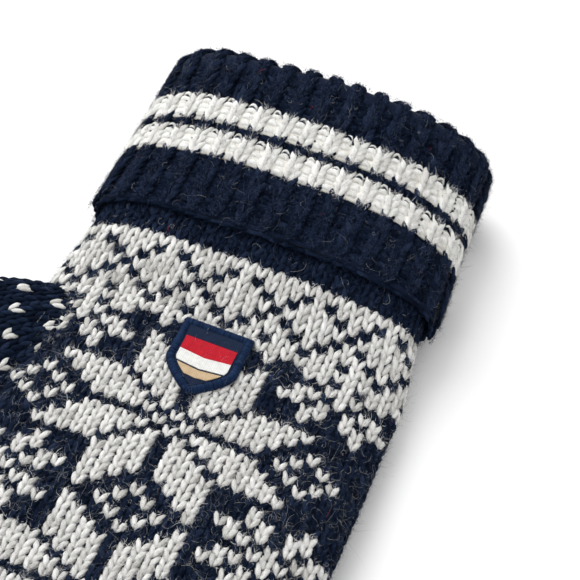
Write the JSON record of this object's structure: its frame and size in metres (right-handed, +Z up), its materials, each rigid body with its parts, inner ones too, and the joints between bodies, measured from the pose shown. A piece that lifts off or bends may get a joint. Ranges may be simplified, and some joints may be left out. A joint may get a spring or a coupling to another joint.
{
  "type": "knitted mitten",
  "caption": "Left-hand lined mitten with a star-pattern knitted hand, a ribbed cuff turned up with light stripes, a shield badge on the back and a thumb that spreads.",
  "frame": {"origin": "on the palm's flat rest face, under the centre line of the back of the hand, half way along the mitten's length", "axes": "+X to the little-finger side (the thumb is on -X), +Y from the fingertips to the wrist, +Z up out of the back of the hand"},
  "size_m": [0.1649, 0.2413, 0.0394],
  "materials": {
    "pattern_knit": "two-colour woollen stockinette, navy and off-white, matte and hairy",
    "navy_rib": "navy woollen one-by-one rib, matte and hairy",
    "off_white_rib": "off-white woollen one-by-one rib, matte and hairy",
    "navy_yarn": "navy woollen yarn",
    "fleece": "off-white brushed fleece",
    "thread": "overlock thread",
    "label_satin": "blank woven satin",
    "badge_navy": "fine woven badge cloth",
    "badge_border": "satin-stitched border thread",
    "badge_red": "woven red thread",
    "badge_white": "woven white thread",
    "badge_tan": "woven tan thread"
  },
  "bodies": {
    "hand": {"hand_shell": "pattern_knit", "thumb_gusset": "pattern_knit", "cuff_inner": "navy_rib", "hand_liner": "fleece", "liner_seam": "thread", "care_label": "label_satin", "tip_closing_yarn": "navy_yarn", "badge_backing": "badge_navy", "badge_border": "badge_border", "badge_field": "badge_navy", "badge_red_band": "badge_red", "badge_white_chevron": "badge_white", "badge_tan_point": "badge_tan", "badge_stitching": "badge_border"},
    "thumb": {"thumb_shell": "pattern_knit", "thumb_liner": "fleece", "thumb_tip_yarn": "navy_yarn"},
    "turned_cuff": {"cuff_turnup": "navy_rib", "cuff_throat": "navy_rib", "cuff_stripes": "off_white_rib", "cast_off_edge": "navy_rib"}
  },
  "joints": [
    {"name": "thumb_spread", "type": "hinge", "parent": "hand", "child": "thumb", "pos_m": [-0.046, 0.032, 0.009], "axis": [0, 0, -1], "range_deg": [-5, 25]},
    {"name": "cuff_unroll", "type": "slide", "parent": "hand", "child": "turned_cuff", "axis": [0, 1, 0], "range_m": [0, 0.035]}
  ]
}
